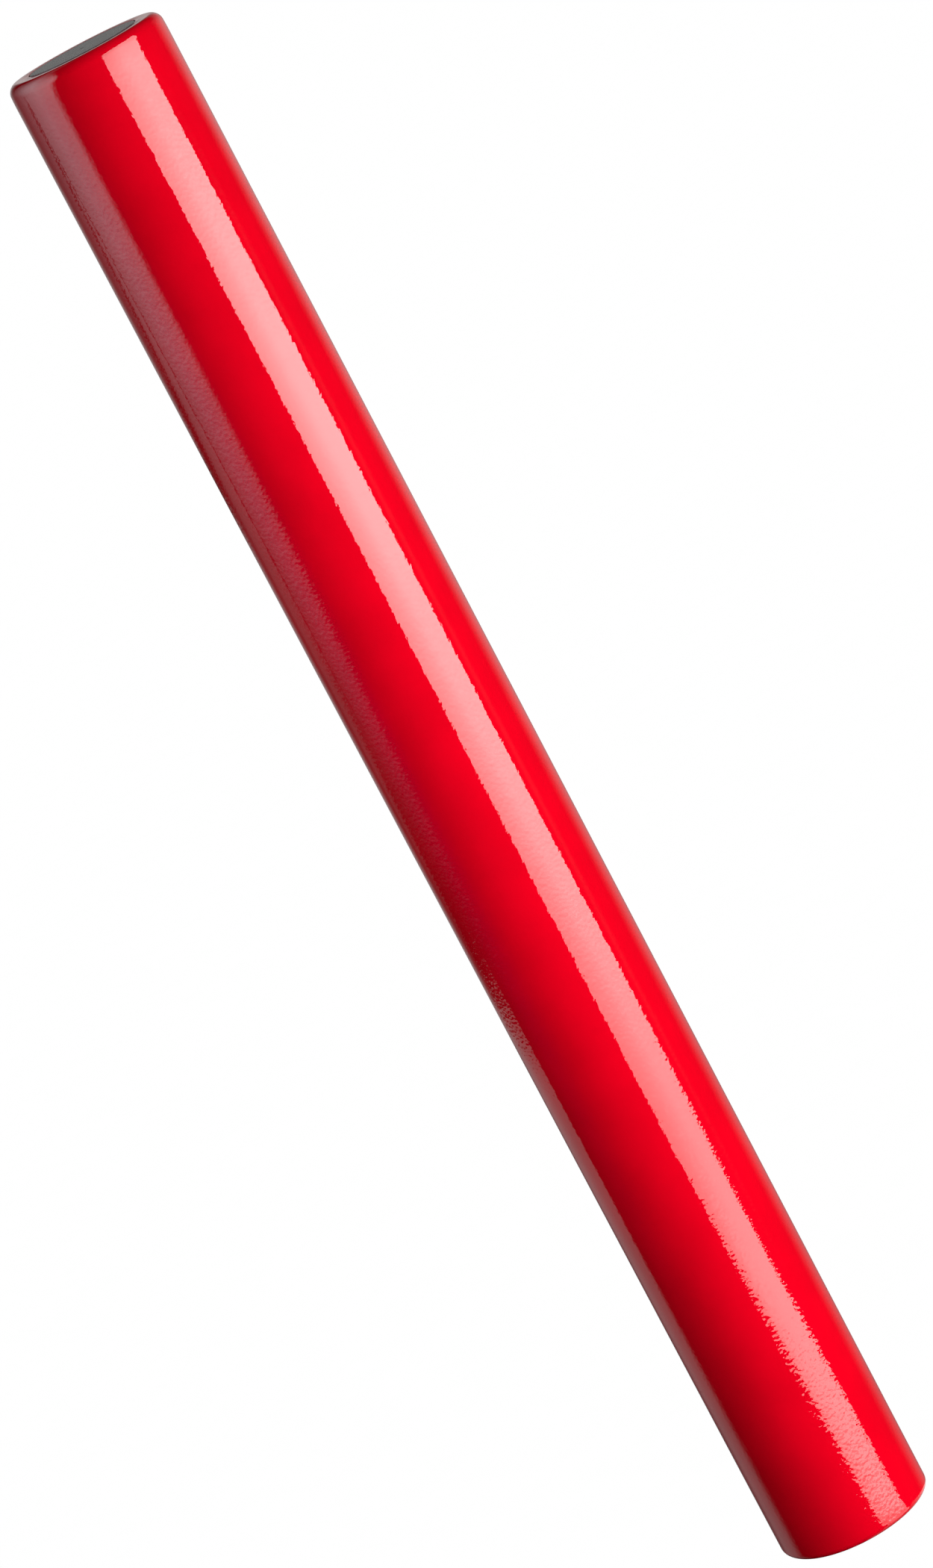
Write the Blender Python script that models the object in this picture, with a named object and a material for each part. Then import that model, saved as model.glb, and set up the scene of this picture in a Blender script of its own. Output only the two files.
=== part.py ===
"""A tabletop roll of seamless backdrop paper, packed for sale.

The roll stands on its lower end with +Z along its axis. The paper is wound on a board core. A
moulded ring guards each end of the winding and rounds it off, a glossy sleeve is shrunk over the
winding and both rings, and a plug closes each end of the core. The plugs pull out along the axis,
and a crossbar goes through the core in their place. Sizes are in metres.
"""

import math

import bmesh
import bpy

# Driving dimensions.
PAPER_WIDTH = 0.6604
SLEEVE_RADIUS = 0.0328
LOWER_SHOULDER = 0.0028
UPPER_SHOULDER = 0.0042
CORE_BORE_RADIUS = 0.01905
CORE_WALL = 0.003
PLUG_FACE_RADIUS = 0.0226

# Clearance between pieces that touch, and the thicknesses of the thin ones.
GAP = 0.0003
FILM = 0.0004
TURN = 0.0003
TAPE = 0.0002

# End rings.
RING_HEIGHT = 0.004
RING_CHAMFER = 0.0006

# Core plugs: a flange that closes the roll's end, and a hollow hub with ribs that grip the core.
PLUG_PROUD = 0.0003
MOUTH_RELIEF = 0.0004
FLANGE = 0.0022
FLANGE_ROUND = 0.0004
HUB_LENGTH = 0.030
HUB_RADIUS = 0.0184
HUB_WALL = 0.0018
HUB_LEAD = 0.0012
HUB_FILLET = 0.0012
RIB_COUNT = 8
RIB_HEIGHT = 0.00035
RIB_WIDTH = 0.0016
RIB_LENGTH = 0.024
WEB_COUNT = 2
WEB_THICKNESS = 0.0014
WEB_DEPTH = 0.018
WEB_ANGLE = math.radians(22.5)
BURY = 0.0006

# Places that follow from the dimensions above. The lower plug's face is at z = 0.
END_STACK = PLUG_PROUD + FILM + GAP + RING_HEIGHT + GAP
TOTAL_LENGTH = PAPER_WIDTH + 2.0 * END_STACK
PAPER_LOW = END_STACK
PAPER_HIGH = END_STACK + PAPER_WIDTH
CORE_LOW = FLANGE + GAP
CORE_HIGH = TOTAL_LENGTH - CORE_LOW
CORE_RADIUS = CORE_BORE_RADIUS + CORE_WALL
MOUTH_RADIUS = PLUG_FACE_RADIUS + MOUTH_RELIEF
TAPE_RADIUS = SLEEVE_RADIUS - FILM - GAP
TURN_RADIUS = TAPE_RADIUS - TAPE - GAP
WINDING_RADIUS = TURN_RADIUS - TURN - GAP
WINDING_BORE = CORE_RADIUS + GAP

# The sheet's free edge and the tapes that hold it down, spread along the roll.
EDGE_ANGLE = math.radians(205.0)
EDGE_OPENING = math.radians(2.0)
EDGE_TAPES = {"edge_tape_lower": 0.12, "edge_tape_middle": 0.5, "edge_tape_upper": 0.88}
EDGE_TAPE_WIDTH = 0.024
EDGE_TAPE_ANGLE = math.radians(80.0)

# The tape that holds the sheet's start to the core, in a pocket in the winding's bore.
START_TAPE_LENGTH = 0.060
START_TAPE_ANGLE = math.radians(60.0)
START_TAPE_PLACE = 0.5
POCKET_MARGIN = 0.001

# Round pieces have this many sides, a shoulder this many steps and a small edge this many.
SIDES = 64
SHOULDER_STEPS = 6
EDGE_STEPS = 2
SHARP_ANGLE = math.radians(30.0)

SLEEVE_RED = (0.80, 0.0, 0.012, 1.0)
PLUG_GREY = (0.16, 0.165, 0.165, 1.0)
RING_GREY = (0.30, 0.30, 0.30, 1.0)
KRAFT = (0.42, 0.27, 0.15, 1.0)
PAPER_RED = (0.50, 0.02, 0.03, 1.0)
TAPE_CLEAR = (0.80, 0.78, 0.70, 1.0)


def clear_scene():
    for obj in list(bpy.data.objects):
        bpy.data.objects.remove(obj, do_unlink=True)


def make_material(name, colour, roughness):
    material = bpy.data.materials.new(name)
    material.use_nodes = True
    shader = material.node_tree.nodes["Principled BSDF"]
    shader.inputs["Base Color"].default_value = colour
    shader.inputs["Roughness"].default_value = roughness
    shader.inputs["Metallic"].default_value = 0.0
    return material


def corner(centre_r, centre_z, radius, start, end, steps):
    """The points of a rounded corner in (r, z), from one angle in degrees to another."""
    points = []
    for step in range(steps + 1):
        angle = math.radians(start + (end - start) * step / steps)
        points.append((centre_r + radius * math.cos(angle), centre_z + radius * math.sin(angle)))
    return points


def upper_end(section):
    """A lower end's (r, z) section turned over for the upper end, still listed anticlockwise."""
    return [(r, TOTAL_LENGTH - z) for r, z in reversed(section)]


def mesh_of(shape, name):
    mesh = bpy.data.meshes.new(name)
    shape.to_mesh(mesh)
    shape.free()
    return mesh


def turned_mesh(name, section, base=0.0):
    """A solid of revolution about Z from a closed (r, z) section listed anticlockwise.

    A section point on the axis makes one vertex. Heights are measured from the base.
    """
    shape = bmesh.new()
    rings = []
    for r, z in section:
        ring = []
        for side in range(SIDES):
            angle = 2.0 * math.pi * side / SIDES
            if side == 0 or r > 0.0:
                point = (r * math.cos(angle), r * math.sin(angle), z - base)
                vertex = shape.verts.new(point)
            ring.append(vertex)
        rings.append(ring)
    for ring, following in zip(rings, rings[1:] + rings[:1]):
        for side in range(SIDES):
            after = (side + 1) % SIDES
            around = [ring[side], ring[after], following[after], following[side]]
            corners = list(dict.fromkeys(around))
            if len(corners) > 2:
                shape.faces.new(corners)
    return mesh_of(shape, name)


def band_mesh(name, inner, outer, low, high, start, sweep):
    """A strip bent round Z, between two radii, two heights and the start and end of its sweep."""
    steps = max(2, round(SIDES * sweep / (2.0 * math.pi)))
    shape = bmesh.new()
    frames = []
    for step in range(steps + 1):
        angle = start + sweep * step / steps
        frame = []
        for radius, z in ((inner, low), (outer, low), (outer, high), (inner, high)):
            frame.append(shape.verts.new((radius * math.cos(angle), radius * math.sin(angle), z)))
        frames.append(frame)
    for near, far in zip(frames, frames[1:]):
        for side in range(4):
            after = (side + 1) % 4
            shape.faces.new((near[side], near[after], far[after], far[side]))
    shape.faces.new(frames[0])
    shape.faces.new(list(reversed(frames[-1])))
    bmesh.ops.recalc_face_normals(shape, faces=shape.faces)
    return mesh_of(shape, name)


def add_box(shape, size, centre, angle):
    """A box added to a bmesh, then turned about Z."""
    for vertex in bmesh.ops.create_cube(shape, size=1.0)["verts"]:
        x, y, z = (vertex.co[i] * size[i] + centre[i] for i in range(3))
        cosine = math.cos(angle)
        sine = math.sin(angle)
        vertex.co = (x * cosine - y * sine, x * sine + y * cosine, z)


def add_piece(name, mesh, material, height=0.0):
    """A piece of the roll, with its origin on the axis at the given height."""
    piece = bpy.data.objects.new(name, mesh)
    bpy.context.scene.collection.objects.link(piece)
    piece.location.z = height
    mesh.materials.append(material)
    mesh.shade_smooth()
    mesh.set_sharp_from_angle(angle=SHARP_ANGLE)
    return piece


def combine(piece, mesh, operation, height=0.0):
    """Joins or cuts a piece with a helper that isn't part of the roll."""
    helper = bpy.data.objects.new(mesh.name, mesh)
    bpy.context.scene.collection.objects.link(helper)
    helper.location.z = height
    helper.hide_render = True
    helper.display_type = "WIRE"
    modifier = piece.modifiers.new(mesh.name, "BOOLEAN")
    modifier.operation = operation
    modifier.solver = "EXACT"
    modifier.object = helper


def make_sleeve(material):
    """The shrunk sleeve: a thin wall along the roll, over both shoulders and in to the plugs."""
    low = PLUG_PROUD
    high = TOTAL_LENGTH - PLUG_PROUD
    lower_turn = (SLEEVE_RADIUS - LOWER_SHOULDER, low + LOWER_SHOULDER)
    upper_turn = (SLEEVE_RADIUS - UPPER_SHOULDER, high - UPPER_SHOULDER)
    section = [(MOUTH_RADIUS, low)]
    section += corner(*lower_turn, LOWER_SHOULDER, -90.0, 0.0, SHOULDER_STEPS)
    section += corner(*upper_turn, UPPER_SHOULDER, 0.0, 90.0, SHOULDER_STEPS)
    section += [(MOUTH_RADIUS, high), (MOUTH_RADIUS, high - FILM)]
    section += corner(*upper_turn, UPPER_SHOULDER - FILM, 90.0, 0.0, SHOULDER_STEPS)
    section += corner(*lower_turn, LOWER_SHOULDER - FILM, 0.0, -90.0, SHOULDER_STEPS)
    section += [(MOUTH_RADIUS, low + FILM)]
    add_piece("outer_sleeve", turned_mesh("outer_sleeve", section), material)


def ring_section(shoulder):
    """A ring at the lower end: flat against the winding, and rounded outside to carry the sleeve."""
    low = PLUG_PROUD + FILM + GAP
    high = low + RING_HEIGHT
    rounding = shoulder - FILM - GAP
    turn_radius = SLEEVE_RADIUS - shoulder
    section = [(MOUTH_RADIUS + RING_CHAMFER, low)]
    section += corner(turn_radius, low + rounding, rounding, -90.0, 0.0, SHOULDER_STEPS)
    section += [(turn_radius + rounding, high), (MOUTH_RADIUS, high)]
    section += [(MOUTH_RADIUS, low + RING_CHAMFER)]
    return section


def make_edge_rings(material):
    lower = ring_section(LOWER_SHOULDER)
    upper = upper_end(ring_section(UPPER_SHOULDER))
    add_piece("edge_ring_lower", turned_mesh("edge_ring_lower", lower), material)
    add_piece("edge_ring_upper", turned_mesh("edge_ring_upper", upper), material)


def make_core(material):
    section = [
        (CORE_BORE_RADIUS, CORE_LOW),
        (CORE_RADIUS, CORE_LOW),
        (CORE_RADIUS, CORE_HIGH),
        (CORE_BORE_RADIUS, CORE_HIGH),
    ]
    add_piece("core_tube", turned_mesh("core_tube", section), material)


def make_winding(material):
    """The wound sheet, all but its last turn, with the start tape's pocket in its bore."""
    section = [
        (WINDING_BORE, PAPER_LOW),
        (WINDING_RADIUS, PAPER_LOW),
        (WINDING_RADIUS, PAPER_HIGH),
        (WINDING_BORE, PAPER_HIGH),
    ]
    winding = add_piece("paper_winding", turned_mesh("paper_winding", section), material)
    centre = TOTAL_LENGTH * START_TAPE_PLACE
    half = START_TAPE_LENGTH / 2.0 + POCKET_MARGIN
    outer = WINDING_BORE + TAPE + GAP
    spare = POCKET_MARGIN / CORE_RADIUS
    sweep = START_TAPE_ANGLE + 2.0 * spare
    inner = CORE_RADIUS - GAP
    pocket = band_mesh("tape_pocket", inner, outer, centre - half, centre + half, -spare, sweep)
    combine(winding, pocket, "DIFFERENCE")


def make_last_turn(material):
    """The sheet's last turn, open along the roll at its free edge."""
    inner = TURN_RADIUS - TURN
    sweep = 2.0 * math.pi - EDGE_OPENING
    start = EDGE_ANGLE + EDGE_OPENING
    mesh = band_mesh("paper_last_turn", inner, TURN_RADIUS, PAPER_LOW, PAPER_HIGH, start, sweep)
    add_piece("paper_last_turn", mesh, material)


def make_tapes(material):
    """Three tapes across the free edge, and one between the core and the sheet's start."""
    half = EDGE_TAPE_WIDTH / 2.0
    start = EDGE_ANGLE - EDGE_TAPE_ANGLE / 2.0
    for name, place in EDGE_TAPES.items():
        centre = TOTAL_LENGTH * place
        inner = TAPE_RADIUS - TAPE
        low = centre - half
        mesh = band_mesh(name, inner, TAPE_RADIUS, low, centre + half, start, EDGE_TAPE_ANGLE)
        add_piece(name, mesh, material)
    name = "core_start_tape"
    half = START_TAPE_LENGTH / 2.0
    centre = TOTAL_LENGTH * START_TAPE_PLACE
    outer = WINDING_BORE + TAPE
    low = centre - half
    mesh = band_mesh(name, WINDING_BORE, outer, low, centre + half, 0.0, START_TAPE_ANGLE)
    add_piece(name, mesh, material)


def make_plug(name, material, upper):
    """A core plug, with its origin at the middle of its face, on the axis it pulls out along."""
    hub_end = FLANGE + HUB_LENGTH
    bore = HUB_RADIUS - HUB_WALL
    face_edge = PLUG_FACE_RADIUS - FLANGE_ROUND
    section = [(0.0, 0.0)]
    section += corner(face_edge, FLANGE_ROUND, FLANGE_ROUND, -90.0, 0.0, EDGE_STEPS)
    section += [(PLUG_FACE_RADIUS, FLANGE), (HUB_RADIUS, FLANGE)]
    section += [(HUB_RADIUS, hub_end - HUB_LEAD), (HUB_RADIUS - HUB_LEAD, hub_end)]
    section += [(bore, hub_end)]
    section += corner(bore - HUB_FILLET, FLANGE + HUB_FILLET, HUB_FILLET, 0.0, -90.0, EDGE_STEPS)
    section += [(0.0, FLANGE)]
    height = 0.0
    inward = 1.0
    if upper:
        height = TOTAL_LENGTH
        inward = -1.0
        section = upper_end(section)
    plug = add_piece(name, turned_mesh(name, section, height), material, height)

    ribs = bmesh.new()
    rib_depth = RIB_HEIGHT + BURY
    rib_middle = HUB_RADIUS + RIB_HEIGHT - rib_depth / 2.0
    rib_size = (rib_depth, RIB_WIDTH, RIB_LENGTH + BURY)
    rib_place = (rib_middle, 0.0, inward * (FLANGE - BURY + rib_size[2] / 2.0))
    for rib in range(RIB_COUNT):
        add_box(ribs, rib_size, rib_place, 2.0 * math.pi * rib / RIB_COUNT)
    combine(plug, mesh_of(ribs, name + "_ribs"), "UNION", height)

    web_size = (2.0 * bore + HUB_WALL, WEB_THICKNESS, WEB_DEPTH + BURY)
    web_place = (0.0, 0.0, inward * (FLANGE - BURY + web_size[2] / 2.0))
    for web in range(WEB_COUNT):
        shape = bmesh.new()
        add_box(shape, web_size, web_place, WEB_ANGLE + math.pi * web / WEB_COUNT)
        combine(plug, mesh_of(shape, f"{name}_web_{web}"), "UNION", height)


clear_scene()
make_sleeve(make_material("sleeve_film", SLEEVE_RED, 0.08))
make_edge_rings(make_material("ring_plastic", RING_GREY, 0.5))
make_core(make_material("core_board", KRAFT, 0.85))
paper = make_material("backdrop_paper", PAPER_RED, 0.9)
make_winding(paper)
make_last_turn(paper)
make_tapes(make_material("tape_film", TAPE_CLEAR, 0.4))
plug_plastic = make_material("plug_plastic", PLUG_GREY, 0.45)
make_plug("core_plug_lower", plug_plastic, upper=False)
make_plug("core_plug_upper", plug_plastic, upper=True)
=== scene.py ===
"""The backdrop paper roll as it looks: a packed roll in a glossy red sleeve, standing on its end.

Every piece is built in metres in the frame's own axes, with +Z up the roll and the lower plug's
face at z = 0. Radii and heights are read from the frame's nodes. A section is a closed list of
(r, z) points, anticlockwise, which is turned about Z.
"""

import math

import bmesh
import bpy
from mathutils import Matrix, Vector, noise


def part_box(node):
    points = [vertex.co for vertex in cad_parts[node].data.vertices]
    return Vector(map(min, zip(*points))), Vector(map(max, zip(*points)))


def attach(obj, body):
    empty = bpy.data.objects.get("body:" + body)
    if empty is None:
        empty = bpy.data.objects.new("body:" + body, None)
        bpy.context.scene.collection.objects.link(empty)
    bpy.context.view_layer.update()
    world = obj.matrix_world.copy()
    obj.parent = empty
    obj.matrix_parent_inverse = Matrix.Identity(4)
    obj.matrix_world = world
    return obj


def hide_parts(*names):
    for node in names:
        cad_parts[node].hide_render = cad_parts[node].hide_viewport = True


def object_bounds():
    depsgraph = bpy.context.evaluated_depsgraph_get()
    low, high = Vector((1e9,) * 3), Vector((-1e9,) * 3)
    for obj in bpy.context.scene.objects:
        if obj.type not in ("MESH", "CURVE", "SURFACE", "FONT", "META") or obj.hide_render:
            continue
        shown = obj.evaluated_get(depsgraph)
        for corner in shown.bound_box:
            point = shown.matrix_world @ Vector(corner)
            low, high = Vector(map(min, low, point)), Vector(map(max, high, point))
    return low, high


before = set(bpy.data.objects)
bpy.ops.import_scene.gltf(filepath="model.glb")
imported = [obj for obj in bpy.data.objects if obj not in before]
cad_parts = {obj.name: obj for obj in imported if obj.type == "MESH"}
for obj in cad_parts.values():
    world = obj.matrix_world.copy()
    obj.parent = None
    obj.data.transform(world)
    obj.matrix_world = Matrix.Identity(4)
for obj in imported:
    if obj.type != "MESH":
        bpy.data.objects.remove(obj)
cad_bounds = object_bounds()

# ---------------------------------------------------------------- measures


def radius_of(node):
    low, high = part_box(node)
    return (high[0] - low[0]) / 2.0


def heights_of(node):
    low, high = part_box(node)
    return low[2], high[2]


ROLL_LOW, ROLL_HIGH = cad_bounds[0][2], cad_bounds[1][2]
ROLL_MIDDLE = (ROLL_LOW + ROLL_HIGH) / 2.0
SLEEVE_RADIUS = radius_of("outer_sleeve")
SLEEVE_LOW, SLEEVE_HIGH = heights_of("outer_sleeve")
PLUG_RADIUS = radius_of("core_plug_lower")
PLUG_LENGTH = heights_of("core_plug_lower")[1] - ROLL_LOW
CORE_RADIUS = radius_of("core_tube")
CORE_LOW, CORE_HIGH = heights_of("core_tube")
WINDING_RADIUS = radius_of("paper_winding")
PAPER_LOW, PAPER_HIGH = heights_of("paper_winding")
RING_RADIUS = radius_of("edge_ring_lower")
RING_LOW, RING_TOP = heights_of("edge_ring_lower")

# Thicknesses, clearances and roundings that the boxes don't give.
FILM = 0.0004
TURN = 0.0003
TAPE = 0.0002
GAP = 0.0003
LOWER_SHOULDER = 0.0028
UPPER_SHOULDER = 0.0042
LIP = 0.0001
WAVE_DEPTH = 0.00002
EASE_HEIGHT = 0.0095
EASE_DEPTH = 0.00035
MOUTH_RADIUS = PLUG_RADIUS + 0.0004
CORE_BORE = CORE_RADIUS - 0.003
WINDING_BORE = CORE_RADIUS + GAP
TURN_RADIUS = WINDING_RADIUS + GAP + TURN
TAPE_RADIUS = TURN_RADIUS + GAP + TAPE

# The plug's own shape. Its face is set a little behind the CAD's, level with the sleeve.
FACE_SET = 0.0002
FLANGE = 0.0022
FLANGE_ROUND = 0.0004
HUB_RADIUS = 0.0184
HUB_WALL = 0.0018
HUB_LEAD = 0.0012
HUB_FILLET = 0.0012
RIB_COUNT = 8
RIB_HEIGHT = 0.00035
RIB_WIDTH = 0.0016
RIB_LENGTH = 0.024
WEB_THICKNESS = 0.0014
WEB_DEPTH = 0.018
WEB_ANGLES = (math.radians(22.5), math.radians(112.5))
SINK_DEPTH = 0.00004
SINK_WIDTH = 0.0014
GATE_RADIUS = 0.0011
GATE_DEPTH = 0.00025

# The sheet's free edge, and the tapes' widths and sweeps.
EDGE_ANGLE = math.radians(205.0)
EDGE_OPENING = math.radians(2.0)
EDGE_TAPE_SWEEP = math.radians(80.0)
START_TAPE_SWEEP = math.radians(60.0)
TOOTH_PITCH = 0.0012
TOOTH_DEPTH = 0.0006
SHEET = 0.00018
LAYER_RAISE = 0.00012

# How finely round pieces are cut.
SLEEVE_SIDES = 256
SLEEVE_STEPS = 130
EASE_STEPS = 10
PLUG_SIDES = 288
INNER_SIDES = 160
SHARP = math.radians(38.0)

# ---------------------------------------------------------------- node graphs


class Graph:
    """A node tree written as formulas: each call makes one node and returns its output."""

    def __init__(self, tree):
        self.tree = tree
        tree.nodes.clear()

    def node(self, kind, **settings):
        made = self.tree.nodes.new(kind)
        for key, value in settings.items():
            setattr(made, key, value)
        return made

    def feed(self, socket, value):
        if isinstance(value, bpy.types.NodeSocket):
            self.tree.links.new(value, socket)
        elif value is not None:
            socket.default_value = value

    def math(self, operation, *values):
        made = self.node("ShaderNodeMath", operation=operation)
        for socket, value in zip(made.inputs, values):
            self.feed(socket, value)
        return made.outputs[0]

    def add(self, first, *others):
        for other in others:
            first = self.math("ADD", first, other)
        return first

    def times(self, first, *others):
        for other in others:
            first = self.math("MULTIPLY", first, other)
        return first

    def less(self, first, second):
        return self.math("SUBTRACT", first, second)

    def greatest(self, first, *others):
        for other in others:
            first = self.math("MAXIMUM", first, other)
        return first

    def ramp(self, value, start, end, low=0.0, high=1.0, kind="SMOOTHSTEP"):
        """Goes from low to high as the value goes from start to end."""
        made = self.node("ShaderNodeMapRange", interpolation_type=kind)
        for socket, given in zip(made.inputs, (value, start, end, low, high)):
            self.feed(socket, given)
        return made.outputs[0]

    def above(self, value, edge, softness):
        """1 where the value is over the edge, 0 under it, and smooth across the softness."""
        half = self.times(softness, 0.5) if isinstance(softness, bpy.types.NodeSocket) else softness / 2.0
        return self.ramp(self.less(value, edge), self.times(half, -1.0), half)

    def bell(self, value, centre, width):
        """A bump of height 1 at the centre, down to 1/e at the given width."""
        offset = self.math("DIVIDE", self.less(value, centre), width)
        return self.math("EXPONENT", self.times(offset, offset, -1.0))

    def curve(self, value, *points):
        """A smooth profile through (value, result) points, level beyond the ends."""
        made = self.node("ShaderNodeFloatCurve")
        mapping = made.mapping
        mapping.use_clip = False
        line = mapping.curves[0]
        line.points[0].location = points[0]
        line.points[1].location = points[-1]
        for x, y in points[1:-1]:
            line.points.new(x, y)
        mapping.extend = "HORIZONTAL"
        mapping.update()
        self.feed(made.inputs["Value"], value)
        return made.outputs[0]

    def noise(self, place, scale, detail=2.0, roughness=0.5, distortion=0.0, stretch=(1.0, 1.0, 1.0)):
        mapped = self.node("ShaderNodeMapping")
        self.feed(mapped.inputs["Vector"], place)
        mapped.inputs["Scale"].default_value = stretch
        made = self.node("ShaderNodeTexNoise")
        self.feed(made.inputs["Vector"], mapped.outputs[0])
        made.inputs["Scale"].default_value = scale
        made.inputs["Detail"].default_value = detail
        made.inputs["Roughness"].default_value = roughness
        made.inputs["Distortion"].default_value = distortion
        return made.outputs["Fac"]

    def mix(self, share, first, second):
        made = self.node("ShaderNodeMix", data_type="RGBA")
        self.feed(made.inputs["Factor"], share)
        self.feed(made.inputs[6], first)
        self.feed(made.inputs[7], second)
        return made.outputs[2]

    def tint(self, colour, strength):
        """A colour times a number, as a vector."""
        made = self.node("ShaderNodeVectorMath", operation="SCALE")
        made.inputs[0].default_value = colour
        self.feed(made.inputs["Scale"], strength)
        return made.outputs[0]

    def add_colours(self, first, *others):
        for other in others:
            made = self.node("ShaderNodeVectorMath", operation="ADD")
            self.feed(made.inputs[0], first)
            self.feed(made.inputs[1], other)
            first = made.outputs[0]
        return first

    def bump(self, height, distance, normal=None):
        made = self.node("ShaderNodeBump")
        made.inputs["Distance"].default_value = distance
        self.feed(made.inputs["Height"], height)
        self.feed(made.inputs["Normal"], normal)
        return made.outputs[0]

    def cylinder(self, place):
        """The distance from the axis, the turn about it in radians, and the height."""
        apart = self.node("ShaderNodeSeparateXYZ")
        self.feed(apart.inputs[0], place)
        x, y, z = apart.outputs
        radius = self.math("SQRT", self.add(self.times(x, x), self.times(y, y)))
        return radius, self.math("ARCTAN2", y, x), z


def new_material(name):
    material = bpy.data.materials.new(name)
    material.use_nodes = True
    graph = Graph(material.node_tree)
    shader = graph.node("ShaderNodeBsdfPrincipled")
    output = graph.node("ShaderNodeOutputMaterial")
    graph.feed(output.inputs["Surface"], shader.outputs[0])
    place = graph.node("ShaderNodeTexCoord").outputs["Object"]
    return material, graph, shader, place


# ---------------------------------------------------------------- materials

FILM_RED = (0.86, 0.0003, 0.013, 1.0)
FILM_DEEP_RED = (0.80, 0.0003, 0.012, 1.0)
PLUG_GREY = (0.150, 0.155, 0.155, 1.0)
PLUG_PALE = (0.190, 0.195, 0.193, 1.0)
RING_GREY = (0.40, 0.40, 0.39, 1.0)
RING_PALE = (0.48, 0.48, 0.47, 1.0)
KRAFT_DARK = (0.30, 0.185, 0.095, 1.0)
KRAFT_PALE = (0.47, 0.315, 0.180, 1.0)
PAPER_RED = (0.50, 0.018, 0.028, 1.0)
PAPER_DEEP_RED = (0.36, 0.010, 0.018, 1.0)
TAPE_CLEAR = (0.82, 0.80, 0.71, 1.0)
TAPE_DULL = (0.66, 0.63, 0.52, 1.0)


def film_material():
    """Glossy film drawn tight over the winding: clear red, with a fine orange peel.

    The peel is deeper in the last stretch above the lower end.
    """
    material, graph, shader, place = new_material("sleeve_film")
    height = graph.cylinder(place)[2]
    cloud = graph.ramp(graph.noise(place, 35.0, 3.0), 0.35, 0.65)
    graph.feed(shader.inputs["Base Color"], graph.mix(cloud, FILM_DEEP_RED, FILM_RED))
    haze = graph.noise(place, 220.0, 4.0, 0.6)
    graph.feed(shader.inputs["Roughness"], graph.ramp(haze, 0.3, 0.7, 0.01, 0.028))
    shader.inputs["IOR"].default_value = 1.5
    low_end = graph.ramp(height, 0.130, 0.075, 1.0, 1.5)
    peel = graph.noise(place, 700.0, 0.7, 0.45)
    grit = graph.noise(place, 2100.0, 1.0)
    drift = graph.noise(place, 130.0, 1.0)
    relief = graph.add(graph.times(peel, low_end), graph.times(grit, 0.05), graph.times(drift, 0.8))
    graph.feed(shader.inputs["Normal"], graph.bump(relief, 0.000032))
    return material


def plug_material():
    """Grey moulded plastic: a fine eroded texture, clouded colour and faint turning marks."""
    material, graph, shader, place = new_material("plug_plastic")
    radius = graph.cylinder(place)[0]
    cloud = graph.noise(place, 90.0, 4.0, 0.6)
    graph.feed(shader.inputs["Base Color"], graph.mix(graph.ramp(cloud, 0.3, 0.7), PLUG_GREY, PLUG_PALE))
    grain = graph.noise(place, 2600.0, 2.0)
    graph.feed(shader.inputs["Roughness"], graph.ramp(grain, 0.3, 0.7, 0.22, 0.34))
    turning = graph.math("SINE", graph.times(radius, 2.0 * math.pi / 0.00045))
    relief = graph.add(grain, graph.times(turning, 0.06))
    graph.feed(shader.inputs["Normal"], graph.bump(relief, 0.00001))
    return material


def ring_material():
    """Satin moulded plastic, paler than the plugs, with the same fine grain."""
    material, graph, shader, place = new_material("ring_plastic")
    cloud = graph.noise(place, 110.0, 4.0, 0.6)
    graph.feed(shader.inputs["Base Color"], graph.mix(graph.ramp(cloud, 0.3, 0.7), RING_GREY, RING_PALE))
    grain = graph.noise(place, 2200.0, 3.0)
    graph.feed(shader.inputs["Roughness"], graph.ramp(grain, 0.3, 0.7, 0.42, 0.55))
    graph.feed(shader.inputs["Normal"], graph.bump(grain, 0.000015))
    return material


def board_material():
    """Spiral-wound brown board: fibres along the ply, a seam each pitch, and plies at the cut."""
    material, graph, shader, place = new_material("core_board")
    radius, turn, height = graph.cylinder(place)
    pitch = 0.095
    along = graph.add(graph.math("DIVIDE", height, pitch), graph.times(turn, 0.5 / math.pi))
    seam = graph.bell(graph.math("FRACT", along), 0.5, 0.006)
    fibre = graph.noise(place, 520.0, 5.0, 0.65, 0.3, (1.0, 1.0, 0.22))
    fleck = graph.noise(place, 1900.0, 3.0, 0.7)
    plies = graph.math("SINE", graph.times(radius, 2.0 * math.pi / 0.0005))
    shade = graph.add(graph.times(fibre, 0.7), graph.times(fleck, 0.3), graph.times(plies, 0.05))
    shade = graph.less(shade, graph.times(seam, 0.35))
    graph.feed(shader.inputs["Base Color"], graph.mix(graph.ramp(shade, 0.3, 0.7), KRAFT_DARK, KRAFT_PALE))
    graph.feed(shader.inputs["Roughness"], graph.ramp(fleck, 0.3, 0.7, 0.78, 0.92))
    relief = graph.add(graph.times(fibre, 0.5), graph.times(plies, 0.25), graph.times(seam, -2.0))
    graph.feed(shader.inputs["Normal"], graph.bump(relief, 0.00006))
    return material


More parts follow.
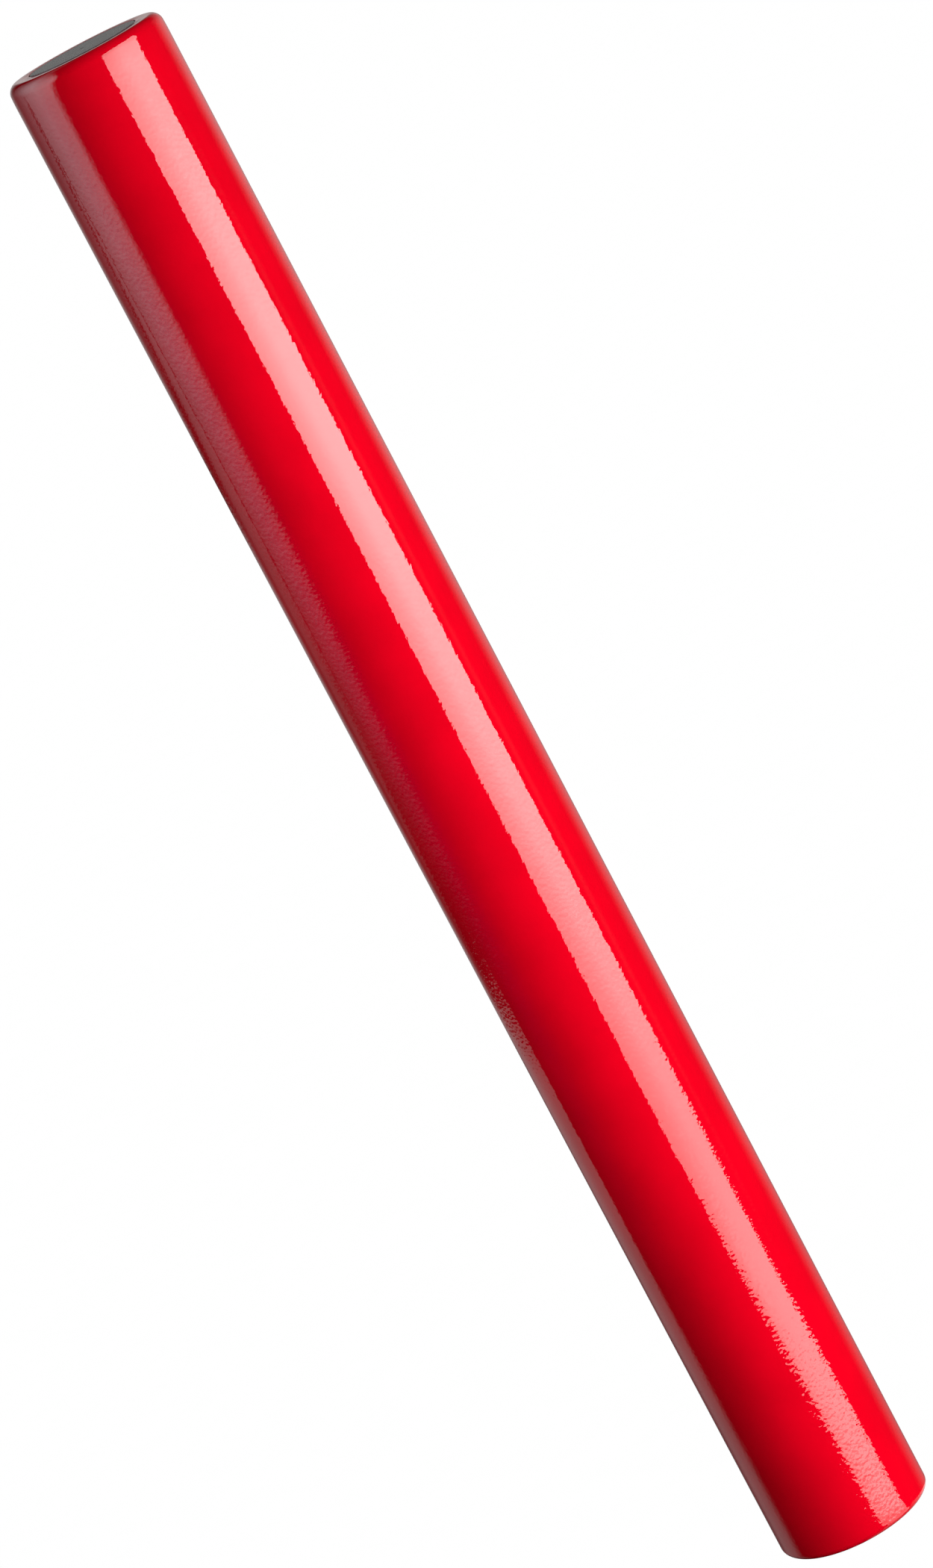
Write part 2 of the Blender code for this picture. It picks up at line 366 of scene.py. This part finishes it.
def paper_material():
    """Dyed uncoated paper: felted fibres, slight clouding, and the edges of the turns as lines."""
    material, graph, shader, place = new_material("backdrop_paper")
    radius = graph.cylinder(place)[0]
    cloud = graph.noise(place, 60.0, 5.0, 0.6)
    fibre = graph.noise(place, 1300.0, 4.0, 0.7, 0.4, (1.0, 1.0, 0.5))
    turns = graph.math("SINE", graph.times(radius, 2.0 * math.pi / (3.0 * SHEET)))
    shade = graph.add(graph.times(cloud, 0.5), graph.times(fibre, 0.5), graph.times(turns, 0.06))
    depth = graph.ramp(shade, 0.32, 0.68)
    graph.feed(shader.inputs["Base Color"], graph.mix(depth, PAPER_DEEP_RED, PAPER_RED))
    graph.feed(shader.inputs["Roughness"], graph.ramp(fibre, 0.3, 0.7, 0.8, 0.95))
    shader.inputs["Sheen Weight"].default_value = 0.15
    graph.feed(shader.inputs["Normal"], graph.bump(fibre, 0.00003))
    return material


def tape_material():
    """Matt adhesive tape: off-white, streaked along its length, with a little show-through."""
    material, graph, shader, place = new_material("tape_film")
    streak = graph.noise(place, 260.0, 4.0, 0.6, 0.0, (0.25, 0.25, 4.0))
    graph.feed(shader.inputs["Base Color"], graph.mix(graph.ramp(streak, 0.3, 0.7), TAPE_DULL, TAPE_CLEAR))
    graph.feed(shader.inputs["Roughness"], graph.ramp(streak, 0.3, 0.7, 0.32, 0.48))
    shader.inputs["Transmission Weight"].default_value = 0.25
    graph.feed(shader.inputs["Normal"], graph.bump(streak, 0.00001))
    return material


# ---------------------------------------------------------------- mesh helpers


def corner(centre_r, centre_z, radius, start, end, steps):
    """The points of a rounded corner in (r, z), from one angle in degrees to another."""
    points = []
    for step in range(steps + 1):
        angle = math.radians(start + (end - start) * step / steps)
        points.append((centre_r + radius * math.cos(angle), centre_z + radius * math.sin(angle)))
    return points


def between(start, end, steps):
    """The points that divide a straight stretch of a section, without its ends."""
    points = []
    for step in range(1, steps):
        share = step / steps
        points.append((start[0] + (end[0] - start[0]) * share, start[1] + (end[1] - start[1]) * share))
    return points


def upper_end(section):
    """A lower end's section turned over for the upper end."""
    return [(r, ROLL_LOW + ROLL_HIGH - z) for r, z in reversed(section)]


def turned(section, sides, shape=None):
    """A closed solid of revolution. shape may move a point: it takes the angle, r and z."""
    mesh = bmesh.new()
    rings = []
    for r, z in section:
        ring = []
        for side in range(sides):
            if side == 0 or r > 0.0:
                angle = 2.0 * math.pi * side / sides
                wide, high = shape(angle, r, z) if shape else (r, z)
                vertex = mesh.verts.new((wide * math.cos(angle), wide * math.sin(angle), high))
            ring.append(vertex)
        rings.append(ring)
    for ring, following in zip(rings, rings[1:] + rings[:1]):
        for side in range(sides):
            after = (side + 1) % sides
            corners = list(dict.fromkeys((ring[side], ring[after], following[after], following[side])))
            if len(corners) > 2:
                mesh.faces.new(corners)
    return mesh


def band(inner, outer, heights, start, end, steps):
    """A closed strip bent round Z. start and end give the angle of each end at a height."""
    mesh = bmesh.new()
    grids = []
    for radius in (inner, outer):
        grid = []
        for z in heights:
            row = []
            for step in range(steps + 1):
                angle = start(z) + (end(z) - start(z)) * step / steps
                row.append(mesh.verts.new((radius * math.cos(angle), radius * math.sin(angle), z)))
            grid.append(row)
        grids.append(grid)
    inside, outside = grids
    last = len(heights) - 1
    for row in range(last):
        for step in range(steps):
            for grid in grids:
                near, far = grid[row], grid[row + 1]
                mesh.faces.new((near[step], near[step + 1], far[step + 1], far[step]))
        for step in (0, steps):
            near = (inside[row][step], outside[row][step])
            far = (outside[row + 1][step], inside[row + 1][step])
            mesh.faces.new(near + far)
    for row in (0, last):
        for step in range(steps):
            near = (inside[row][step], inside[row][step + 1])
            far = (outside[row][step + 1], outside[row][step])
            mesh.faces.new(near + far)
    bmesh.ops.recalc_face_normals(mesh, faces=mesh.faces)
    return mesh


def box_mesh(size, centre, angle):
    mesh = bmesh.new()
    bmesh.ops.create_cube(mesh, size=1.0)
    turn = Matrix.Rotation(angle, 4, "Z") @ Matrix.Translation(centre) @ Matrix.Diagonal((*size, 1.0))
    bmesh.ops.transform(mesh, matrix=turn, verts=mesh.verts)
    return mesh


def new_object(name, mesh):
    data = bpy.data.meshes.new(name)
    mesh.to_mesh(data)
    mesh.free()
    made = bpy.data.objects.new(name, data)
    bpy.context.scene.collection.objects.link(made)
    return made


def combine(piece, mesh, operation):
    """Joins a mesh to the piece, or cuts it out, for good."""
    helper = new_object("helper", mesh)
    modifier = piece.modifiers.new("combine", "BOOLEAN")
    modifier.operation = operation
    modifier.solver = "EXACT"
    modifier.object = helper
    graph = bpy.context.evaluated_depsgraph_get()
    data = bpy.data.meshes.new_from_object(piece.evaluated_get(graph))
    piece.modifiers.clear()
    piece.data = data
    bpy.data.objects.remove(helper, do_unlink=True)


def finish_piece(piece, material, body, slot, *nodes):
    """Shades the piece, and says what it rides on and which nodes it stands for."""
    piece.data.materials.clear()
    piece.data.materials.append(material)
    piece.data.shade_smooth()
    piece.data.set_sharp_from_angle(angle=SHARP)
    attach(piece, body)
    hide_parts(*nodes)


# ---------------------------------------------------------------- the sleeve


def make_sleeve():
    """The film: in from each mouth, over the shoulders and along the roll, slightly wavy."""
    low_turn = (SLEEVE_RADIUS - LOWER_SHOULDER, SLEEVE_LOW + LOWER_SHOULDER)
    high_turn = (SLEEVE_RADIUS - UPPER_SHOULDER, SLEEVE_HIGH - UPPER_SHOULDER)
    lip = MOUTH_RADIUS + LIP
    section = corner(lip, SLEEVE_LOW + LIP, LIP, 180.0, 270.0, 3)
    section += corner(*low_turn, LOWER_SHOULDER, -90.0, 0.0, 24)
    easing = (SLEEVE_RADIUS, SLEEVE_HIGH - EASE_HEIGHT)
    section += between((SLEEVE_RADIUS, low_turn[1]), easing, SLEEVE_STEPS)
    section += between(easing, (SLEEVE_RADIUS, high_turn[1]), EASE_STEPS)
    section += corner(*high_turn, UPPER_SHOULDER, 0.0, 90.0, 24)
    section += corner(lip, SLEEVE_HIGH - LIP, LIP, 90.0, 180.0, 3)
    section += corner(lip, SLEEVE_HIGH - FILM + LIP, LIP, 180.0, 270.0, 3)
    section += corner(*high_turn, UPPER_SHOULDER - FILM, 90.0, 0.0, 10)
    section += corner(*low_turn, LOWER_SHOULDER - FILM, 0.0, -90.0, 10)
    section += corner(lip, SLEEVE_LOW + FILM - LIP, LIP, 90.0, 180.0, 3)

    def shape(angle, r, z):
        eased = max(0.0, 1.0 - (SLEEVE_HIGH - z) / EASE_HEIGHT)
        r -= EASE_DEPTH * eased * eased * max(0.0, 1.0 - (SLEEVE_RADIUS - r) / UPPER_SHOULDER)
        if r < SLEEVE_RADIUS - FILM / 2.0:
            return r, z
        place = Vector((1.2 * math.cos(angle), 1.2 * math.sin(angle), 22.0 * z))
        return r - WAVE_DEPTH * abs(noise.noise(place)), z

    piece = new_object("sleeve_film", turned(section, SLEEVE_SIDES, shape))
    finish_piece(piece, film_material(), "roll", "sleeve_film", "outer_sleeve")


# ---------------------------------------------------------------- the plugs


def rib_rise(angle):
    """How far the hub stands out at an angle: a rounded rib every eighth of a turn."""
    step = 2.0 * math.pi / RIB_COUNT
    off = (angle + step / 2.0) % step - step / 2.0
    share = abs(off) * HUB_RADIUS / (RIB_WIDTH / 2.0)
    return RIB_HEIGHT * math.sqrt(max(0.0, 1.0 - share * share))


def make_plug(name, body, material, upper):
    """A plug: a flange with a faint sink ring over its hub, and a ribbed, webbed hollow hub."""
    bore = HUB_RADIUS - HUB_WALL
    face = PLUG_RADIUS - FLANGE_ROUND
    sink = HUB_RADIUS - HUB_WALL / 2.0
    rib_end = FLANGE + RIB_LENGTH
    gate = FACE_SET + GATE_DEPTH
    fillet = HUB_FILLET / 2.0
    section = [(0.0, gate), (GATE_RADIUS * 0.8, gate), (GATE_RADIUS, FACE_SET)]
    section += between((GATE_RADIUS, FACE_SET), (face, FACE_SET), 40)
    section += corner(face, FACE_SET + FLANGE_ROUND, FLANGE_ROUND, -90.0, 0.0, 6)
    section += [(PLUG_RADIUS, FLANGE - 0.0001), (PLUG_RADIUS - 0.0001, FLANGE)]
    section += corner(HUB_RADIUS + fillet, FLANGE + fillet, fillet, -90.0, -180.0, 4)
    section += between((HUB_RADIUS, FLANGE + fillet), (HUB_RADIUS, rib_end), 8)
    section += [(HUB_RADIUS, rib_end), (HUB_RADIUS, rib_end + 0.0004)]
    section += corner(HUB_RADIUS - HUB_LEAD, PLUG_LENGTH - HUB_LEAD, HUB_LEAD, 0.0, 60.0, 5)
    section += corner(bore + 0.0003, PLUG_LENGTH - 0.0003, 0.0003, 90.0, 180.0, 3)
    section += corner(bore - HUB_FILLET, FLANGE + HUB_FILLET, HUB_FILLET, 0.0, -90.0, 6)
    section += [(0.0, FLANGE)]

    def shape(angle, r, z):
        if z == FACE_SET and r > GATE_RADIUS:
            dip = (r - sink) / SINK_WIDTH
            return r, FACE_SET + SINK_DEPTH * math.exp(-dip * dip)
        if abs(r - HUB_RADIUS) < 1e-6 and FLANGE + HUB_FILLET < z < rib_end + 0.0001:
            return r + rib_rise(angle), z
        return r, z

    plug = new_object(name, turned(section, PLUG_SIDES, shape))
    for angle in WEB_ANGLES:
        size = (2.0 * bore + HUB_WALL, WEB_THICKNESS, WEB_DEPTH + FLANGE / 2.0)
        centre = (0.0, 0.0, FLANGE / 2.0 + size[2] / 2.0)
        combine(plug, box_mesh(size, centre, angle), "UNION")
    if upper:
        over = Matrix.Translation((0.0, 0.0, ROLL_LOW + ROLL_HIGH)) @ Matrix.Rotation(math.pi, 4, "X")
        plug.data.transform(over)
    else:
        plug.data.transform(Matrix.Translation((0.0, 0.0, ROLL_LOW)))
    finish_piece(plug, material, body, "plug_plastic", name.replace("closure", "core_plug"))


# ---------------------------------------------------------------- what lies under the sleeve


def ring_section(shoulder):
    """A ring at the lower end, rounded outside to carry the sleeve, with softened edges."""
    rounding = shoulder - FILM - GAP
    soft = 0.0005
    half = soft / 2.0
    section = corner(SLEEVE_RADIUS - shoulder, RING_LOW + rounding, rounding, -90.0, 0.0, 20)
    section += corner(RING_RADIUS - half, RING_TOP - half, half, 0.0, 90.0, 3)
    section += corner(MOUTH_RADIUS + half, RING_TOP - half, half, 90.0, 180.0, 3)
    section += corner(MOUTH_RADIUS + soft, RING_LOW + soft, soft, 180.0, 270.0, 5)
    return section


def make_rings(material):
    sections = {"lower": ring_section(LOWER_SHOULDER), "upper": upper_end(ring_section(UPPER_SHOULDER))}
    for end, section in sections.items():
        ring = new_object("end_ring_" + end, turned(section, INNER_SIDES))
        finish_piece(ring, material, "roll", "ring_plastic", "edge_ring_" + end)


def make_core(material):
    """The board tube, with slightly crushed edges at its cut ends."""
    edge = 0.0003
    section = corner(CORE_RADIUS - edge, CORE_LOW + edge, edge, -90.0, 0.0, 3)
    section += between((CORE_RADIUS, CORE_LOW + edge), (CORE_RADIUS, CORE_HIGH - edge), 40)
    section += corner(CORE_RADIUS - edge, CORE_HIGH - edge, edge, 0.0, 90.0, 3)
    section += corner(CORE_BORE + edge, CORE_HIGH - edge, edge, 90.0, 180.0, 3)
    section += between((CORE_BORE, CORE_HIGH - edge), (CORE_BORE, CORE_LOW + edge), 40)
    section += corner(CORE_BORE + edge, CORE_LOW + edge, edge, 180.0, 270.0, 3)
    core = new_object("board_core", turned(section, INNER_SIDES))
    finish_piece(core, material, "roll", "core_board", "core_tube")


def layered_end(height, inward):
    """A wound end from the bore outwards: each few turns stand at their own height."""
    points = []
    turns = int((WINDING_RADIUS - WINDING_BORE) / (2.0 * SHEET))
    for turn in range(turns + 1):
        radius = WINDING_BORE + (WINDING_RADIUS - WINDING_BORE) * turn / turns
        drop = LAYER_RAISE * (0.5 + 0.5 * noise.noise(Vector((turn * 0.71, height * 50.0, 3.0))))
        points.append((radius, height + inward * drop))
    return points


def make_winding(material):
    """The wound sheet, with the edges of its turns showing at both ends, and the tape's pocket."""
    section = layered_end(PAPER_LOW, 1.0)
    section += between((WINDING_RADIUS, PAPER_LOW), (WINDING_RADIUS, PAPER_HIGH), 30)
    section += list(reversed(layered_end(PAPER_HIGH, -1.0)))
    section += between((WINDING_BORE, PAPER_HIGH), (WINDING_BORE, PAPER_LOW), 30)
    winding = new_object("wound_paper", turned(section, INNER_SIDES))
    low, high = heights_of("core_start_tape")
    spare = 0.001
    turn = spare / CORE_RADIUS
    outer = WINDING_BORE + TAPE + GAP
    pocket = band(
        CORE_RADIUS - GAP,
        outer,
        (low - spare, high + spare),
        lambda z: -turn,
        lambda z: START_TAPE_SWEEP + turn,
        40,
    )
    combine(winding, pocket, "DIFFERENCE")
    finish_piece(winding, material, "roll", "backdrop_paper", "paper_winding")


def make_last_turn(material):
    """The last turn, with a free edge that isn't cut quite straight."""

    def free_edge(z):
        return EDGE_ANGLE + 0.004 * noise.noise(Vector((0.0, 4.0, z * 9.0)))

    heights = [PAPER_LOW + (PAPER_HIGH - PAPER_LOW) * step / 60 for step in range(61)]
    start = EDGE_ANGLE + EDGE_OPENING
    inner = TURN_RADIUS - TURN
    sheet = band(
        inner, TURN_RADIUS, heights, lambda z: start, lambda z: free_edge(z) + 2.0 * math.pi, INNER_SIDES
    )
    piece = new_object("outer_turn", sheet)
    finish_piece(piece, material, "roll", "backdrop_paper", "paper_last_turn")


def make_tapes(material):
    """Tapes torn on a toothed blade: three across the free edge and one on the core."""
    edge_start = EDGE_ANGLE - EDGE_TAPE_SWEEP / 2.0
    places = {
        "edge_tape_" + where: (TAPE_RADIUS - TAPE, edge_start, EDGE_TAPE_SWEEP)
        for where in ("lower", "middle", "upper")
    }
    places["core_start_tape"] = (WINDING_BORE, 0.0, START_TAPE_SWEEP)
    for node, (inner, start, sweep) in places.items():
        low, high = heights_of(node)
        teeth = round((high - low) / TOOTH_PITCH)
        heights = [low + (high - low) * step / (2 * teeth) for step in range(2 * teeth + 1)]
        tips = {z: step % 2 for step, z in enumerate(heights)}
        depth = TOOTH_DEPTH / inner

        def first(z, start=start, tips=tips, depth=depth):
            return start + depth * tips[z]

        def last(z, end=start + sweep, tips=tips, depth=depth):
            return end - depth * tips[z]

        strip = band(inner, inner + TAPE, heights, first, last, 40)
        tape = new_object(node.replace("_tape", "_tape_strip"), strip)
        finish_piece(tape, material, "roll", "tape_film", node)


# ---------------------------------------------------------------- camera

SENSOR_MM = 36.0
# These are rounded from a least-squares fit of a rounded cylinder to the photo's outline.
LENS_MM = 130.35
VIEW_DOWN = math.radians(12.67)
VIEW_ROLL = math.radians(27.8)
LENGTH_PER_DISTANCE = 0.2995
VIEW_DISTANCE = (SLEEVE_HIGH - SLEEVE_LOW) / LENGTH_PER_DISTANCE
AIM_RIGHT = -0.00582
AIM_UP = 0.00883


def make_camera():
    """Stands south of the roll, looks down on it, and is rolled so that the roll lies aslant."""
    down, roll = VIEW_DOWN, VIEW_ROLL
    # The roll's axes as the camera sees them: x to its right, y up, z towards it.
    east = Vector((math.cos(roll), math.sin(roll), 0.0))
    up = Vector((-math.sin(roll) * math.cos(down), math.cos(roll) * math.cos(down), math.sin(down)))
    turn = Matrix((east, up.cross(east), up))
    place = Vector((0.0, 0.0, ROLL_MIDDLE)) + turn @ Vector((AIM_RIGHT, AIM_UP, VIEW_DISTANCE))
    data = bpy.data.cameras.new("studio_camera")
    data.lens = LENS_MM
    data.sensor_width = SENSOR_MM
    camera = bpy.data.objects.new("studio_camera", data)
    camera.matrix_world = Matrix.Translation(place) @ turn.to_4x4()
    bpy.context.scene.collection.objects.link(camera)
    bpy.context.scene.camera = camera


# ---------------------------------------------------------------- light and stage

FLOOR_DROP = 0.05


def make_world():
    """The studio as the gloss shows it, by direction. It lights no matt surface.

    az is the compass turn from the south, positive to the east, and el is degrees above the
    horizon. The lamps of make_lamps do the shading. The curves' points began as rounded readings
    from a map of brightness by direction, which scripts worked out from the photo's reflections.
    They were then adjusted render after render.
    """
    world = bpy.data.worlds.new("studio")
    world.use_nodes = True
    bpy.context.scene.world = world
    graph = Graph(world.node_tree)
    apart = graph.node("ShaderNodeSeparateXYZ")
    graph.feed(apart.inputs[0], graph.node("ShaderNodeTexCoord").outputs["Generated"])
    east, north, high = apart.outputs
    az = graph.math("DEGREES", graph.math("ARCTAN2", east, graph.times(north, -1.0)))
    el = graph.math("DEGREES", graph.math("ARCSINE", high))
    seams = dark_seams(graph, az, el)
    violet = graph.times(graph.bell(az, -82.0, 20.0), graph.bell(el, -9.0, 5.5), 0.22)
    light = graph.add_colours(
        graph.tint((1.0, 1.0, 0.98), softbox(graph, az, el)),
        graph.tint((1.0, 1.0, 1.07), graph.times(pale_panel(graph, az, el), seams)),
        graph.tint((0.35, 0.0, 1.0), violet),
        graph.tint((1.0, 1.0, 1.0), graph.times(left_room(graph, az, el), seams)),
        graph.tint((1.0, 0.98, 0.95), right_room(graph, az, el)),
    )
    background = graph.node("ShaderNodeBackground")
    graph.feed(background.inputs["Color"], light)
    output = graph.node("ShaderNodeOutputWorld")
    graph.feed(output.inputs["Surface"], background.outputs[0])
    world.cycles.sampling_method = "MANUAL"
    world.cycles.sample_map_resolution = 2048
    world.cycles_visibility.diffuse = False


def softbox(graph, az, el):
    """The big softbox right of the camera, brightest at its middle, and its glow on the table."""
    left = graph.curve(
        el, (-50, 46), (-20.4, 25.5), (-18.6, 19), (-17.6, 13.6), (-16.3, 13.8), (-11, 17), (-4, 18.4)
    )
    low_right = ((-50, 98), (-20, 71.5), (-18.8, 66.3), (-17.8, 62.8), (-17, 66.5), (-16, 69.4))
    right = graph.curve(el, *low_right, (-10, 71), (0, 76.2), (30, 82))
    top = graph.curve(az, (15, 12), (24, 25), (36, 29.5), (80, 32))
    ragged = graph.ramp(el, -17.5, -19.5, 0.5, 2.5)
    shape = graph.times(
        graph.above(az, left, ragged),
        graph.above(right, az, 0.5),
        graph.above(top, el, 1.5),
        graph.curve(az, (18, 0.66), (25, 0.72), (35, 0.84), (48, 1.0), (60, 0.99), (78, 0.94)),
    )
    low_level = ((-20, 7.1), (-18, 6.6), (-16.5, 6.8), (-12.3, 9.3), (-8.7, 10.7))
    level = graph.curve(el, *low_level, (-4.3, 8.4), (0, 7.3), (26, 5.6))
    glow = graph.curve(el, (-80, 0.05), (-48, 0.25), (-34, 0.43), (-21.5, 0.6), (-20.2, 1.0))
    streak = graph.times(
        graph.bell(az, 33.0, 9.0), graph.ramp(el, -17.6, -18.1), graph.ramp(el, -20.0, -18.5)
    )
    return graph.times(shape, level, glow, graph.add(graph.times(streak, 0.25), 1.0))


def pale_panel(graph, az, el):
    """A pale panel on the left. It reaches from just under the horizon far up, and leans back."""
    low_inner = ((-13, -81), (-10.7, -73), (-9, -65.5), (-7, -63), (-4.3, -63))
    inner = graph.curve(el, *low_inner, (0, -60), (20, -55), (39, -58), (60, -85))
    leaned = graph.add(az, graph.curve(el, (0, 0), (20, 9), (50, 28)))
    return graph.times(
        graph.above(inner, az, 12.0),
        graph.curve(leaned, (-150, 0.0), (-140, 0.07), (-124, 0.24), (-108, 0.58), (-90, 1.0)),
        graph.curve(
            el, (-14, 0), (-11, 0.35), (-8.9, 0.84), (-7.2, 1.38), (-5.3, 1.97), (15, 2.8), (45, 2.1), (65, 0)
        ),
    )


def left_room(graph, az, el):
    """What lies beyond the panel: a dim strip, the far wall, and a box whose top is just under them."""
    lean = graph.times(graph.add(az, 123.0), 0.15)
    strip = graph.times(
        graph.above(-112.5, az, 2.0),
        graph.above(az, -138.0, 14.0),
        graph.curve(graph.less(el, lean), (-12.4, 0), (-11.6, 0.1), (-9.5, 0.15), (-7, 0.1), (-5, 0)),
    )
    far = graph.times(
        graph.curve(az, (-180, 0.36), (-154, 0.24), (-146, 0.08), (-138, 0.0)),
        graph.ramp(el, -15.5, -14.5),
        graph.curve(el, (2, 1.0), (11, 0.35), (20, 0.0)),
    )
    lower = graph.ramp(el, -16.0, -20.0, 0.0, 12.0, "LINEAR")
    box_edge = graph.curve(el, (-20, -113.5), (-17.5, -111.3))
    box = graph.times(
        graph.above(box_edge, az, graph.ramp(el, -16.5, -20.0, 1.5, 19.0)),
        graph.ramp(el, -14.6, -15.3),
        graph.curve(
            graph.less(az, lower), (-168, 0.1), (-160, 0.27), (-152, 0.38), (-124, 0.52), (-112, 0.57)
        ),
        graph.curve(el, (-48, 0.0), (-38, 0.3), (-32, 0.6), (-22, 1.0)),
    )
    return graph.add(strip, far, box)


def dark_seams(graph, az, el):
    """Two dark lines in the panel's outer part, as a factor: one nearly upright, one swept."""
    upright = graph.curve(el, (-12, -110.3), (-9, -110.9), (-7, -112.8), (-4.5, -116.3), (-3, -118))
    short = graph.times(
        graph.bell(az, upright, 1.1), graph.ramp(el, -12.5, -10.5), graph.ramp(el, -2.0, -3.5)
    )
    swept = graph.math("EXPONENT", graph.math("DIVIDE", graph.add(az, 117.0), 12.0))
    rise = graph.add(graph.times(swept, 5.0), -9.0)
    long = graph.times(graph.bell(el, rise, 0.6), graph.ramp(el, -3.8, -4.5), graph.above(-110.0, az, 1.0))
    return graph.less(1.0, graph.times(graph.greatest(short, long), 0.9))


def right_room(graph, az, el):
    """The far right low down, the table's sheen under it, and the dim wall behind the roll."""
    side = graph.times(
        graph.curve(az, (118, 0.0), (123, 0.08), (140, 0.45), (154, 0.48), (172, 0.25)),
        graph.curve(el, (-20, 0.52), (-13, 0.82), (-9, 1.0), (4, 1.0), (14, 0.5), (24, 0.0)),
    )
    table = graph.times(
        graph.curve(az, (86, 0.0), (96, 0.72), (112, 1.2), (145, 1.1), (172, 0.3)),
        graph.curve(el, (-52, 0.05), (-45, 0.25), (-36, 0.55), (-28, 0.9), (-25, 0.9), (-23, 0.0)),
    )
    behind = graph.less(180.0, graph.math("ABSOLUTE", az))
    wall = graph.times(
        graph.curve(behind, (0, 0.22), (9, 0.18), (16, 0.06), (24, 0.0)),
        graph.curve(el, (2, 0.0), (3.2, 1.0), (6, 1.0), (12, 0.3), (40, 0.2), (60, 0.0)),
    )
    spill = graph.times(
        graph.bell(az, 82.0, 4.0), graph.ramp(el, -4.5, -8.0), graph.ramp(el, -19.0, -14.0), 0.14
    )
    return graph.add(side, table, wall, spill)


def make_lamp(name, azimuth, height, distance, size, watts):
    """A soft rectangular lamp that faces the axis level with it and shades without glinting."""
    data = bpy.data.lights.new(name, "AREA")
    data.shape = "RECTANGLE"
    data.size, data.size_y = size
    data.energy = watts
    lamp = bpy.data.objects.new(name, data)
    turn = math.radians(azimuth)
    lamp.location = (distance * math.sin(turn), -distance * math.cos(turn), height)
    lamp.rotation_euler = (math.radians(90.0), 0.0, turn)
    lamp.visible_camera = False
    lamp.visible_glossy = False
    bpy.context.scene.collection.objects.link(lamp)
    return lamp


def make_lamps():
    """The shading: two keys with the softbox, a near fill, and side, back and top lamps."""
    make_lamp("key_high", 47.0, 0.78, 1.5, (1.5, 0.9), 17.8)
    low_key = make_lamp("key_low", 47.0, -0.10, 1.5, (1.5, 0.8), 7.0)
    low_key.data.spread = math.radians(100.0)
    make_lamp("fill", -25.0, 0.35, 0.5, (0.35, 0.35), 0.84)
    make_lamp("left", -120.0, 0.36, 1.2, (0.4, 1.2), 2.4)
    make_lamp("back", 180.0, 0.35, 1.6, (0.6, 1.2), 12.0)
    overhead = make_lamp("overhead", 180.0, 1.9, 0.3, (0.8, 0.8), 3.5)
    overhead.rotation_euler = (math.radians(14.0), 0.0, math.radians(180.0))


def make_stage():
    """A white dome and a pale floor, clear of the plug pulled down. Only the camera sees them."""
    floor = ("studio_floor", floor_mesh(), floor_material())
    dome = ("studio_dome", dome_mesh(), dome_material())
    for name, mesh, material in (floor, dome):
        stage = new_object(name, mesh)
        stage.data.materials.append(material)
        stage.visible_diffuse = False
        stage.visible_glossy = False
        stage.visible_transmission = False
        stage.visible_shadow = False


def floor_mesh():
    mesh = bmesh.new()
    under = Matrix.Translation((0.0, 0.0, ROLL_LOW - FLOOR_DROP))
    bmesh.ops.create_circle(mesh, cap_ends=True, segments=96, radius=11.0, matrix=under)
    return mesh


def dome_mesh():
    mesh = bmesh.new()
    bmesh.ops.create_uvsphere(mesh, u_segments=48, v_segments=24, radius=12.0)
    return mesh


def glow_material(name):
    material = bpy.data.materials.new(name)
    material.use_nodes = True
    graph = Graph(material.node_tree)
    glow = graph.node("ShaderNodeEmission")
    output = graph.node("ShaderNodeOutputMaterial")
    graph.feed(output.inputs["Surface"], glow.outputs[0])
    return material, graph, glow


def dome_material():
    return glow_material("studio_white")[0]


def floor_material():
    """White paper, with a faint grain."""
    material, graph, glow = glow_material("floor_white")
    grain = graph.noise(graph.node("ShaderNodeTexCoord").outputs["Object"], 40.0, 3.0)
    graph.feed(glow.inputs["Strength"], graph.ramp(grain, 0.3, 0.7, 0.997, 1.0))
    return material


# ---------------------------------------------------------------- the scene

make_camera()
make_world()
make_lamps()
make_stage()
bpy.context.scene.view_settings.view_transform = "Standard"

make_sleeve()
plug_plastic = plug_material()
make_plug("closure_lower", "lower_plug", plug_plastic, upper=False)
make_plug("closure_upper", "upper_plug", plug_plastic, upper=True)
make_rings(ring_material())
make_core(board_material())
backdrop_paper = paper_material()
make_winding(backdrop_paper)
make_last_turn(backdrop_paper)
make_tapes(tape_material())
